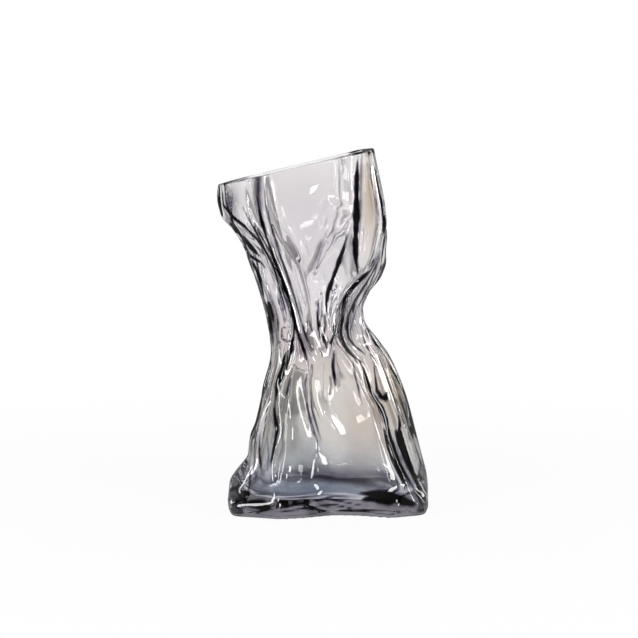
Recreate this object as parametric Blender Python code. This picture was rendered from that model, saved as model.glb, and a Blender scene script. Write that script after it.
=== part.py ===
"""A vase of smoke grey glass in the form of a crumpled, pinched paper bag, blown as one piece.

Every crease of the bag is a smooth path from the foot to the lip. At any level, straight facets
with rounded corners join the creases, which gives the outer wall. The inner wall is that outline
softened and drawn in by the thickness of the glass, as blown glass leaves it.
All sizes are in millimetres, +X to the right of the front face, +Y to the back, +Z up.
"""

import bpy
import numpy as np

MILLIMETRE = 0.001

# Over the whole vase, from side to side and from front to back.
vase_width = 126.1
vase_depth = 101.2

# The lip is a slanting cut. Its plane crosses the middle of the mouth at lip_height.
lip_height = 202.2
lip_rise_right = 0.229
lip_rise_back = 0.02
lip_round = 1.1

# Thickness of the glass, measured level with the ground.
wall_foot = 6.0
wall_belly = 4.4
wall_waist = 4.2
wall_lip = 3.0
wall_least = 2.4
floor_thickness = 8.0

# The heights that the foot's, belly's and waist's walls are measured at.
foot_top = 0.15 * lip_height
belly_middle = 0.3 * lip_height
waist_height = 0.54 * lip_height

# The foot: rounded heel, flat ring that the vase stands on, and a shallow rise inside it.
heel_radius = 3.5
ring_width = 8.0
rise_depth = 4.0
floor_radius = 13.0

# The floor inside swells by this much in its middle.
floor_swell = 2.0

# How far the inside smooths over the creases, in degrees round the axis.
inner_softness = 7.0

# Spacing of the mesh.
front_pitch = 3.0
back_pitch = 5.5
corner_steps = 2
outer_rows = 38
inner_rows = 17
floor_rows = 3
heel_steps = 3
fillet_rows = 4
lip_turns = (0.3, 1.0)

# The paths below are drawn on a bag of these sizes, and stretch with the vase.
drawn_width = 126.1
drawn_depth = 101.2
drawn_height = 202.2

# The axis that the sections are measured from leans with the bag: height, right, back.
axis_path = [
    (0, 3, 0), (50, 6, 0), (92, 3, -1), (110, -3, -2), (131, -3, -1),
    (152, -4, 0), (173, -11, 0), (205, -16, 0),
]

# Creases, anticlockwise from the left as seen from above. Each has the length of its rounding
# and its path: height, right, back. The last point lies on the lip, whatever its height says.
creases = {
    "left_edge": (6, [
        (0, -57, -4), (12, -57, -4), (20, -53, -4), (29, -46.5, -3), (40, -45.3, -3), (50, -42, -3),
        (71, -37.5, -3), (92, -32.5, -2), (110, -35, -3), (131, -40.8, -3), (145, -46, -3), (152, -48, -3),
        (164, -54.5, -3), (173, -62, -4), (184, -64.5, -4), (205, -63.5, -3)]),
    "left_side_front": (5, [
        (0, -55, -34), (8, -56, -34), (14, -50, -33), (28, -42.5, -27), (40, -42, -24), (50, -39.5, -23),
        (71, -31, -23), (92, -26, -21), (110, -25, -17), (131, -31, -16), (152, -38, -17), (173, -51, -17),
        (205, -56, -12)]),
    "front_left_edge": (3.5, [
        (0, -54, -44.5), (7, -52.5, -44.5), (14, -42, -43.5), (22, -34, -42.5), (38, -30, -41),
        (50, -28, -38.5),
        (62, -28.3, -36), (75, -28.5, -33), (92, -22, -29.5), (110, -19, -25.5), (131, -24.5, -26.5),
        (152, -32.5, -29), (173, -43.5, -26.5), (205, -49, -23)]),
    "left_pleat": (2.5, [
        (0, -27, -53), (7, -27, -52), (28, -21, -44), (50, -18, -40), (71, -18.5, -33.5), (80, -18.5, -29),
        (92, -15.5, -22.5), (110, -16.5, -21), (131, -22, -22.5), (152, -30, -26), (173, -38.5, -26.5),
        (205, -42.3, -27.8)]),
    "long_ridge": (3, [
        (0, -12, -50), (7, -12, -49), (20, -6, -43), (36, -3.5, -38.5), (50, -6, -35), (62, -9, -32),
        (75, -10.8, -28.5), (85, -9, -26), (92, -9.5, -27), (110, -14, -29.5), (131, -19.5, -33.5),
        (152, -27.5, -36), (173, -34.5, -36), (205, -37.5, -35)]),
    "centre_fold": (4, [
        (0, 5, -43), (28, 8, -44), (45, 7, -44), (57, 1, -42.5), (70, -3.5, -38.5), (81, -4.5, -34.5),
        (92, -3.5, -29), (110, -3, -24), (131, -5, -30), (141, -6.6, -33.5), (152, -8.5, -37),
        (173, -12.5, -38.5), (205, -12, -37)]),
    "right_pleat": (3, [
        (0, 20, -43.5), (28, 20, -43), (50, 16, -40), (75, 8, -33), (85, 6, -28.5), (96, 6, -23.5),
        (110, 2.6, -19.8), (122, 1.6, -19.4), (131, 2.6, -21), (141, 6.6, -24), (152, 10.3, -27.5),
        (164, 14, -32), (176, 14.5, -35), (205, 14, -36)]),
    "front_right_valley": (2.5, [
        (0, 42, -49), (7, 43, -48), (20, 43.5, -43), (36, 37.5, -39.5), (55, 31, -36), (68, 25.5, -32.5),
        (80, 20, -28.5), (90, 14, -24), (99, 8, -21), (106, 6.5, -20.5), (117, 7.5, -21), (126, 10, -23),
        (134, 16, -26), (141, 20, -30.5), (173, 19.5, -33.5), (205, 20, -33)]),
    "front_right_edge": (3.5, [
        (0, 59.5, -41.5), (6, 59, -42), (12, 55, -43), (20, 50.3, -43), (28, 45.8, -42.5), (38, 41.3, -41.5),
        (47, 38.3, -40), (55, 36.2, -38.5), (63, 33.3, -37), (71, 28.3, -35.5), (85, 23.5, -32.5),
        (92, 19, -31), (100, 12.5, -30.5), (106, 10.5, -30.5), (117, 12, -31), (126, 14.5, -31),
        (131, 17.5, -30.5), (138, 24, -28.5), (147, 30, -23), (159, 35, -17), (170, 37.5, -12),
        (191, 33, -13),
        (205, 28.5, -14)]),
    "right_side_front": (3, [
        (0, 61.5, -28), (8, 61.5, -28), (20, 56, -29), (36, 50, -29), (50, 46, -27), (71, 38, -24),
        (92, 28, -20),
        (99, 21.5, -18.5), (110, 18, -17.5), (120, 18, -18), (127, 20.5, -18.5), (133, 25, -17),
        (147, 34, -12), (159, 37, -6), (170, 37, -3), (205, 30, -3)]),
    "right_edge": (7, [
        (0, 64, 8), (15, 63.5, 9), (28, 60.5, 10), (40, 57.5, 9), (50, 55, 8), (60, 52.5, 7), (71, 49, 6),
        (82, 44, 6), (92, 38.5, 5), (101, 33, 5), (110, 28, 5), (118, 26, 5), (124, 28.5, 6), (131, 33.5, 8),
        (138, 37, 9), (145, 38.5, 10), (152, 37.5, 11), (163, 37, 12), (173, 34.5, 13), (205, 28.5, 11)]),
    "back_right_edge": (8, [
        (0, 55, 45), (28, 49, 43), (50, 43, 38), (71, 35, 33), (92, 27, 25), (110, 20, 18), (131, 24, 20),
        (152, 28, 26), (173, 28, 29), (205, 25, 30)]),
    "back_right_pleat": (4, [
        (0, 38, 50), (28, 35, 44), (50, 30, 39), (71, 23, 32), (92, 15, 24.5), (110, 12, 21.5),
        (131, 13, 23),
        (152, 15, 31), (173, 16, 35), (205, 16, 35)]),
    "back_right_valley": (4, [
        (0, 20, 46), (28, 19, 43), (50, 16, 38), (71, 10, 34), (92, 7, 29), (110, 5, 26), (131, 3, 30),
        (152, 4, 35), (173, 3, 37), (205, 4, 36.5)]),
    "back_centre_ridge": (4, [
        (0, 0, 45), (28, 0, 41), (50, -2, 36.5), (71, -3, 31), (92, -3, 24), (110, -4, 20), (131, -6, 24),
        (152, -8, 31.5), (173, -12, 36), (205, -13, 36.5)]),
    "back_left_valley": (4, [
        (0, -24, 50), (28, -21, 45), (50, -17, 40), (71, -13, 34.5), (92, -11, 28), (110, -13, 25),
        (131, -17, 29),
        (152, -22, 35), (173, -27, 37.5), (205, -30, 37)]),
    "back_left_edge": (8, [
        (0, -50, 45), (28, -40, 42), (50, -34, 36), (71, -28, 31), (92, -22, 25), (110, -24, 21),
        (131, -29, 24),
        (152, -37, 29), (173, -46, 33), (205, -52, 31)]),
    "left_side_back": (6, [
        (0, -56, 22), (12, -55, 21), (28, -44, 19), (50, -37, 17), (71, -33, 15), (92, -28, 11),
        (110, -31, 7),
        (131, -36, 9), (152, -42, 13), (173, -55, 17), (205, -58, 17)]),
}

# Small folds, pressed in where the amount is below nought and raised where it is above.
# Each has its side, the amount, half its width, and its path: across and height, as an eye sees it
# that stands eye_distance from the axis on that side, at eye_height, with lengths true at seen_depth.
eye_distance = 950.0
eye_height = 205.0
seen_depth = 33.0
folds = [
    ("front", -2.2, 2.6, [
        (-56, 188), (-57, 180), (-52, 172.5), (-45, 167), (-38, 160), (-33, 152.5), (-30, 146)]),
    ("front", 1.4, 2.4, [(-58, 174), (-50, 168.5), (-42, 160.5), (-36, 154), (-34, 150)]),
    ("front", -2.0, 2.2, [(-53, 168.5), (-47, 161), (-40, 153), (-35, 148.5), (-32, 145)]),
    ("front", -1.6, 2.2, [(-42, 152), (-37.5, 142), (-34, 130)]),
    ("front", 1.5, 2.4, [(-37, 145), (-32, 134), (-28, 122)]),
    ("front", -1.6, 5.0, [(-22, 164), (-14, 149)]),
    ("front", -1.8, 5.0, [(6, 174), (-3, 150)]),
    ("front", -1.6, 2.6, [(0, 160), (-5, 147), (-7, 141)]),
    ("front", 1.6, 2.6, [(-22.5, 108), (-22, 103)]),
    ("front", -1.2, 2.2, [(-3, 127), (-3.5, 115), (-2, 105), (0.5, 96)]),
    ("front", -1.4, 2.2, [(6, 98), (5.3, 87), (7, 74)]),
    ("front", -1.2, 2.0, [(17, 91), (18, 82), (20.5, 70)]),
    ("front", -1.7, 2.2, [(-20, 92), (-23.5, 84), (-25, 75)]),
    ("front", -1.4, 2.4, [(-18.5, 80), (-22, 69)]),
    ("front", 1.2, 3.0, [(-14, 62), (-18, 52), (-25, 47)]),
    ("front", -1.8, 4.0, [(31, 77), (35, 68)]),
    ("front", -1.7, 2.4, [(19, 115), (22, 108), (24, 100), (28, 93), (34, 86), (43, 77)]),
    ("front", -1.3, 2.6, [(37, 84), (43, 72), (47, 60), (51, 48), (54, 36), (56, 22)]),
    ("front", -2.2, 3.0, [(40, 55), (43, 47), (47, 36), (53, 22), (58, 9)]),
    ("front", -1.6, 2.6, [(-36, 60), (-38, 48), (-38, 30), (-42, 18)]),
    ("right", -1.8, 5.0, [(-8, 160), (2, 142), (8, 122), (2, 100)]),
    ("right", 1.6, 5.0, [(8, 168), (14, 148), (10, 128)]),
    ("right", -1.6, 6.0, [(-4, 88), (-10, 62), (-6, 34)]),
    ("right", 1.4, 5.0, [(8, 96), (14, 70), (20, 42)]),
    ("back", -2.4, 4.0, [
        (40, 198), (38, 180), (33, 160), (24, 138), (15, 118), (10, 100), (12, 84), (20, 62), (27, 40)]),
    ("back", -2.2, 4.0, [
        (-14, 208), (-13, 180), (-10, 155), (-6, 132), (-2, 112), (-4, 92), (-12, 70), (-20, 50)]),
    ("back", -1.8, 4.5, [(-24, 168), (-16, 146), (-14, 124), (-16, 100)]),
    ("back", 1.6, 4.0, [(-8, 128), (-7, 106), (-12, 84), (-18, 62)]),
    ("back", -1.8, 4.0, [(10, 158), (8, 134), (8, 110), (12, 84)]),
    ("back", -1.4, 5.0, [(30, 152), (22, 128), (20, 108)]),
    ("back", -1.6, 5.0, [(28, 84), (34, 58), (32, 36)]),
    ("back", 1.4, 6.0, [(-30, 62), (-34, 44)]),
    ("left", -2.0, 4.5, [(-20, 168), (-10, 150), (-6, 128), (-8, 104)]),
    ("left", 1.5, 4.0, [(-12, 128), (-10, 106), (-14, 82)]),
    ("left", -1.7, 5.0, [(10, 90), (14, 62), (8, 38)]),
    ("left", -1.5, 5.0, [(14, 160), (12, 138)]),
]

# A small fold fades to this share of its depth at its ends, over this many half widths.
end_share = 0.35
end_length = 1.5

# It is pressed only into the wall that faces its side: not at all where the cosine of the angle
# between them is the first of these, and fully from the second on.
facing_from = -0.25
facing_full = 0.15

# Share of a facet that the rounding of one crease may take, so that two never meet.
most_of_facet = 0.42

# How far the drawing is stretched to the right, to the back and up.
stretch = np.array([vase_width / drawn_width, vase_depth / drawn_depth, lip_height / drawn_height])


def eased(knots, values, at):
    """Values at the heights at, on a cubic through the knots that never overshoots them."""
    knots = np.asarray(knots, float)
    values = np.asarray(values, float)
    step = np.diff(knots)[:, None]
    rise = np.diff(values, axis=0) / step
    before, after = 2 * step[1:] + step[:-1], step[1:] + 2 * step[:-1]
    with np.errstate(divide="ignore", invalid="ignore"):
        mean = (before + after) / (before / rise[:-1] + after / rise[1:])
    slope = np.vstack([rise[:1], np.where(rise[:-1] * rise[1:] > 0, mean, 0.0), rise[-1:]])
    at = np.clip(at, knots[0], knots[-1])
    span = np.clip(np.searchsorted(knots, at, side="right") - 1, 0, len(knots) - 2)
    length = step[span]
    t = ((at - knots[span])[:, None]) / length
    start = values[span] * (1 + 2 * t) * (1 - t) ** 2 + slope[span] * length * t * (1 - t) ** 2
    end = values[span + 1] * t ** 2 * (3 - 2 * t) - slope[span + 1] * length * t ** 2 * (1 - t)
    return start + end


def stretched(path):
    """A drawn path of height, right, back at the vase's own size."""
    return np.array(path, float) * stretch[[2, 0, 1]]


def lip_plane(right, back):
    """Height of the slanting lip over a point, measured from the middle of the mouth."""
    middle = stretched(axis_path)[-1]
    return lip_height + lip_rise_right * (right - middle[1]) + lip_rise_back * (back - middle[2])


def crease_points(levels):
    """The creases at each level from 0, the foot, to 1, the lip: an array of level, crease, xyz.

    The levels lie flat at the foot and tilt little by little until the last is the lip."""
    lines = []
    for _, path in creases.values():
        knots = stretched(path)
        top = lip_plane(*knots[-1, 1:])
        knots[-1, 0] = top
        z = levels * lip_height + levels ** 3 * (top - lip_height)
        lines.append(np.column_stack([eased(knots[:, 0], knots[:, 1:], z), z]))
    return np.stack(lines, axis=1)


def facet_steps():
    """How many columns each facet gets, from its mean width over the height of the vase."""
    points = crease_points(np.linspace(0, 1, 9))
    widths = np.linalg.norm(np.roll(points, -1, axis=1) - points, axis=2).mean(axis=0)
    back = points[:, :, 1].mean(axis=0) > 0
    pitch = np.where(back, back_pitch, front_pitch)
    return np.maximum(1, np.round((1 - most_of_facet) * widths / pitch)).astype(int)


def smooth_outline(levels):
    """The outer wall before the small folds: a rounded corner at every crease, a facet to the next."""
    points = crease_points(levels)
    steps = facet_steps()
    roundings = [rounding for rounding, _ in creases.values()]
    columns = []
    for i, rounding in enumerate(roundings):
        j = (i + 1) % len(roundings)
        tip = points[:, i]
        ahead = points[:, j] - tip
        behind = points[:, i - 1] - tip
        length_ahead = np.linalg.norm(ahead, axis=1)[:, None]
        length_behind = np.linalg.norm(behind, axis=1)[:, None]
        start = tip + behind * np.minimum(rounding / length_behind, most_of_facet)
        end = tip + ahead * np.minimum(rounding / length_ahead, most_of_facet)
        for t in np.arange(corner_steps) / corner_steps:
            columns.append((1 - t) ** 2 * start + 2 * t * (1 - t) * tip + t ** 2 * end)
        next_start = points[:, j] - ahead * np.minimum(roundings[j] / length_ahead, most_of_facet)
        for t in np.arange(steps[i]) / steps[i]:
            columns.append(end + (next_start - end) * t)
    return np.stack(columns, axis=1)


def fold_profile(seen, path, half_width):
    """One on the path, falling away as a bell on both sides and fading out towards its ends."""
    path = np.array(path, float)
    nearest = np.full(seen.shape[:2], np.inf)
    along = np.zeros(seen.shape[:2])
    lengths = np.linalg.norm(np.diff(path, axis=0), axis=1)
    done = np.concatenate([[0], np.cumsum(lengths)])
    for i, length in enumerate(lengths):
        way = (path[i + 1] - path[i]) / length
        t = np.clip((seen - path[i]) @ way, 0, length)
        gap = np.linalg.norm(seen - path[i] - t[:, :, None] * way, axis=2)
        closer = gap < nearest
        nearest = np.where(closer, gap, nearest)
        along = np.where(closer, done[i] + t, along)
    ends = np.clip(np.minimum(along, done[-1] - along) / (end_length * half_width), 0, 1)
    fade = end_share + (1 - end_share) * ends * ends * (3 - 2 * ends)
    return np.exp(-(nearest / half_width) ** 2) * fade


def outline(levels):
    """The outer wall at each level, with the small folds pushed straight in or out from the axis."""
    rows = smooth_outline(levels)
    axis = axis_at(rows[:, :, 2])[:, None, :]
    arm = rows[:, :, :2] - axis
    arm = arm / np.linalg.norm(arm, axis=2)[:, :, None]
    push = np.zeros(rows.shape[:2])
    drawn = rows / stretch
    for side, amount, half_width, path in folds:
        facing, across, depth = {
            "front": (-arm[:, :, 1], drawn[:, :, 0], -drawn[:, :, 1]),
            "right": (arm[:, :, 0], drawn[:, :, 1], drawn[:, :, 0]),
            "back": (arm[:, :, 1], -drawn[:, :, 0], drawn[:, :, 1]),
            "left": (-arm[:, :, 0], -drawn[:, :, 1], -drawn[:, :, 0])}[side]
        scale = (eye_distance - seen_depth) / (eye_distance - depth)
        seen = np.stack([across * scale, eye_height - (eye_height - drawn[:, :, 2]) * scale], axis=2)
        shown = np.clip((facing - facing_from) / (facing_full - facing_from), 0, 1)
        push += amount * shown * fold_profile(seen, path, half_width)
    rows[:, :, :2] += arm * push[:, :, None]
    return rows


def axis_at(z):
    """The axis at the mean height of each row."""
    path = stretched(axis_path)
    return eased(path[:, 0], path[:, 1:], z.mean(axis=1))


def quarter_inset(height, radius):
    """How far a rounded edge of this radius stands in at a height above its foot."""
    below = np.clip(radius - height, 0, radius)
    return radius - np.sqrt(radius ** 2 - below ** 2)


def polar(rows):
    """Radius and angle round the axis for rows of points, and the axis itself."""
    axis = axis_at(rows[:, :, 2])[:, None, :]
    arm = rows[:, :, :2] - axis
    return np.linalg.norm(arm, axis=2), np.arctan2(arm[:, :, 1], arm[:, :, 0]), axis


def placed(radius, angle, axis, z):
    """Points from radius and angle round the axis."""
    across = axis[:, :, 0] + radius * np.cos(angle)
    back = axis[:, :, 1] + radius * np.sin(angle)
    return np.stack([across, back, z], axis=2)


def softened(radius, angle):
    """The radius averaged over neighbouring angles, which takes the creases down."""
    apart = angle[:, :, None] - angle[:, None, :]
    apart = (apart + np.pi) % (2 * np.pi) - np.pi
    width = (np.roll(angle, -1, axis=1) - np.roll(angle, 1, axis=1)) % (2 * np.pi)
    weight = np.exp(-0.5 * (apart / np.radians(inner_softness)) ** 2) * width[:, None, :]
    return (weight * radius[:, None, :]).sum(axis=2) / weight.sum(axis=2)


def outer_wall():
    """Rows of the outside from the foot ring's outer edge up to the lip."""
    heel = heel_radius * (1 - np.cos(np.linspace(0, np.pi / 2, heel_steps + 1)[:-1])) / lip_height
    levels = np.concatenate([heel, np.linspace(heel_radius / lip_height, 1, outer_rows)])
    rows = outline(levels)
    radius, angle, axis = polar(rows)
    radius = radius - quarter_inset(rows[:, :, 2], heel_radius)
    return placed(radius, angle, axis, rows[:, :, 2])


def inner_wall():
    """Rows of the inside from the lip down to the edge of the floor."""
    fillet = floor_thickness + floor_radius * (1 - np.cos(np.linspace(np.pi / 2, 0, fillet_rows)))
    levels = np.concatenate([np.linspace(1, fillet[0] / lip_height, inner_rows)[:-1], fillet / lip_height])
    rows = outline(levels)
    radius, angle, axis = polar(rows)
    heights, thickness = np.array([
        (0, wall_foot), (foot_top, wall_foot), (belly_middle, wall_belly), (waist_height, wall_waist),
        (lip_height, wall_lip)]).T
    wall = eased(heights, thickness[:, None], rows[:, :, 2].mean(axis=1))
    radius = np.minimum(softened(radius, angle) - wall, radius - wall_least)
    radius = radius - quarter_inset(rows[:, :, 2] - floor_thickness, floor_radius)
    return placed(radius, angle, axis, rows[:, :, 2])


def lip_rows(outer, inner):
    """The rounded lip between the last row outside and the first row inside."""
    across = inner - outer
    width = np.linalg.norm(across[:, :2], axis=1)[:, None]
    ways = across / width
    rows = []
    for turn in lip_turns:
        sink = lip_round * (1 - np.sin(turn * np.pi / 2)) * np.array([0, 0, 1])
        inset = lip_round * (1 - np.cos(turn * np.pi / 2))
        rows.append(outer + ways * inset - sink)
    mirrored = [inner - (row - outer) * [1, 1, -1] for row in reversed(rows)]
    return np.stack(rows + mirrored)


def shrunk(row, shares, heights):
    """Copies of a row drawn in towards its middle, each at its own height."""
    middle = row.mean(axis=0)
    rows = [middle + (row - middle) * share for share in shares]
    return np.stack([np.column_stack([r[:, :2], np.full(len(r), h)]) for r, h in zip(rows, heights)])


def vase_rows():
    """Every row of the vase, from the middle of the underside up the outside and down the inside."""
    outer = outer_wall()
    inner = inner_wall()
    outer[-1, :, 2] -= lip_round
    inner[0, :, 2] -= lip_round
    lip = lip_rows(outer[-1] + [0, 0, lip_round], inner[0] + [0, 0, lip_round])
    foot = outer[0]
    reach = np.linalg.norm(foot[:, :2] - foot[:, :2].mean(axis=0), axis=1).mean()
    ring = 1 - ring_width / reach
    shares = ring * np.linspace(0, 1, floor_rows + 1)[1:]
    dome = rise_depth * (1 - (shares / ring) ** 2)
    underside = shrunk(foot, shares, dome)
    floor_shares = np.linspace(1, 0, floor_rows + 1)[1:-1]
    floor = shrunk(inner[-1], floor_shares, floor_thickness + floor_swell * (1 - floor_shares ** 2))
    return np.concatenate([underside, outer, lip, inner, floor])


def closed_mesh(rows):
    """Points and faces of the closed skin through the rows, with a point at each end."""
    count, around = rows.shape[:2]
    points = rows.reshape(-1, 3)
    start = points[:around].mean(axis=0)
    start[2] = rise_depth
    end = points[-around:].mean(axis=0)
    end[2] = floor_thickness + floor_swell
    points = np.vstack([points, start, end])
    faces = []
    for c in range(around):
        d = (c + 1) % around
        faces.append((len(points) - 2, d, c))
        for r in range(count - 1):
            faces.append((r * around + c, r * around + d, (r + 1) * around + d, (r + 1) * around + c))
        last = (count - 1) * around
        faces.append((len(points) - 1, last + c, last + d))
    return points, faces


def centred(points):
    """The points moved so that the middle of their bounding box stands over the origin."""
    low, high = points.min(axis=0), points.max(axis=0)
    return points - [(low[0] + high[0]) / 2, (low[1] + high[1]) / 2, low[2]]


def smoke_glass():
    """Clear grey glass with a touch of lilac."""
    material = bpy.data.materials.new("smoke_grey_glass")
    material.use_nodes = True
    shader = material.node_tree.nodes["Principled BSDF"]
    shader.inputs["Base Color"].default_value = (0.62, 0.58, 0.62, 1)
    shader.inputs["Roughness"].default_value = 0.03
    shader.inputs["Metallic"].default_value = 0.0
    shader.inputs["Transmission Weight"].default_value = 1.0
    shader.inputs["IOR"].default_value = 1.5
    return material


def build_vase():
    """The vase as one object, standing on its foot ring."""
    points, faces = closed_mesh(vase_rows())
    mesh = bpy.data.meshes.new("vase")
    mesh.from_pydata((centred(points) * MILLIMETRE).tolist(), [], faces)
    mesh.materials.append(smoke_glass())
    mesh.shade_smooth()
    vase = bpy.data.objects.new("vase", mesh)
    bpy.context.scene.collection.objects.link(vase)
    return vase


def clear_scene():
    """Removes whatever the scene held before."""
    for old in list(bpy.data.objects):
        bpy.data.objects.remove(old, do_unlink=True)


clear_scene()
build_vase()
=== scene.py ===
# A vase of smoke grey glass, blown as one piece in the form of a crumpled, pinched paper bag.
# Shapes are worked out in millimetres, as seen from the front: right, back, up.
import math

import bpy
import numpy as np
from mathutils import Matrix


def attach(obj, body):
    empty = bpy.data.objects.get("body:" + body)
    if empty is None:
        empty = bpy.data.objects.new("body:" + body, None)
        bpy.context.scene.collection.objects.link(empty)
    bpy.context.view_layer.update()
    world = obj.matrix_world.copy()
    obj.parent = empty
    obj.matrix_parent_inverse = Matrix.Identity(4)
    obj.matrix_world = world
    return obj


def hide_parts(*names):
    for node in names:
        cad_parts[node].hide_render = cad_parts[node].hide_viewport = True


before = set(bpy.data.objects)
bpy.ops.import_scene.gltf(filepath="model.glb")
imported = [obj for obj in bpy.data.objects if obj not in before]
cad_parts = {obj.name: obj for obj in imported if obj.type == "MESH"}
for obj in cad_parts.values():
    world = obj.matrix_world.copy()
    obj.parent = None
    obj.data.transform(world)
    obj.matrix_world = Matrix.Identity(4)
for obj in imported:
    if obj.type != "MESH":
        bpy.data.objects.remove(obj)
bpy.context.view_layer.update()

millimetre = 0.001


def linearColour(hexCode):
    # each channel: sRGB to linear light
    channels = np.array([int(hexCode[i:i + 2], 16) for i in (1, 3, 5)]) / 255
    linear = np.where(channels <= 0.04045, channels / 12.92, ((channels + 0.055) / 1.055) ** 2.4)
    return tuple(linear) + (1.0,)


def addNode(tree, kind, settings=None, links=None):
    # settings are attributes, colour stops, or input values by name or number; links feed inputs from sockets
    node = tree.nodes.new(kind)
    for name, value in (settings or {}).items():
        if name == "stops":
            elements = node.color_ramp.elements
            for place, colour in value[1:-1]:
                elements.new(place).color = linearColour(colour)
            for i in (0, -1):
                elements[i].position, elements[i].color = value[i][0], linearColour(value[i][1])
        elif isinstance(name, int) or name in node.inputs:
            node.inputs[name].default_value = value
        else:
            setattr(node, name, value)
    for name, socket in (links or {}).items():
        tree.links.new(socket, node.inputs[name])
    return node


# the place that the photograph was taken from, in millimetres and degrees
cameraPlace = {"distance": 950.0, "height": 205.0, "right": -2.7, "tiltDown": 5.65, "lens": 90.06,
               "sensor": 36.0}

vase = {
    "lipHeight": 202.2, "lipRiseRight": 0.229, "lipRiseBack": 0.02, "lipRound": 1.1,
    "wallHeights": [0, 30.3, 60.7, 109.2, 202.2], "wall": [6.0, 6.0, 4.4, 4.2, 3.0], "wallLeast": 2.4,
    "floor": 8.0, "floorRound": 13.0, "heel": 3.5, "ring": 8.0, "rise": 1.0,
    # the inside is softened over so many degrees; columns in a corner, and about how wide other columns are
    "soften": 7.0, "cornerSteps": 6, "frontPitch": 0.62, "backPitch": 0.85,
    "mostOfFacet": 0.42,  # the most of a facet that a corner's rounding may take, at each end
    "outerRows": 196, "heelRows": 8, "innerRows": 34, "filletRows": 10,
    "domeRows": 7, "ringRows": 8, "floorRows": 9, "lipTurns": [0.2, 0.4, 0.6, 0.8, 1.0],
    # grip marks under the ring, about 5.6 mm apart, and how far each of the ring's rows lets them rise
    "marks": 72, "markHeight": 0.6, "markReach": [0, 0.7, 1, 1, 1, 1, 0.8, 0.2],
    "ripple": 0.03,  # waviness that the mould leaves on the outside, and the air on the inside
    "innerRipple": 17.0,  # how far the inside's ripples are shifted from the outside's
    # painted shade at the two ends of the lip
    "lipShadeEnds": {"right": 15, "left": -44, "fade": 4, "leftDark": 0.35},  # where the lip reads dark
    # painted shade along the bend between wall and floor
    "floorBendShade": {"dark": 0.5, "above": 3, "halfHigh": 3, "uneven": 0.3},
}
# the axis leans with the bag: height, right, back
axisPath = [(0, 3, 0), (50, 6, 0), (92, 3, -1), (110, -3, -2), (131, -3, -1), (152, -4, 0), (173, -11, 0),
            (205, -16, 0)]
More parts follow.
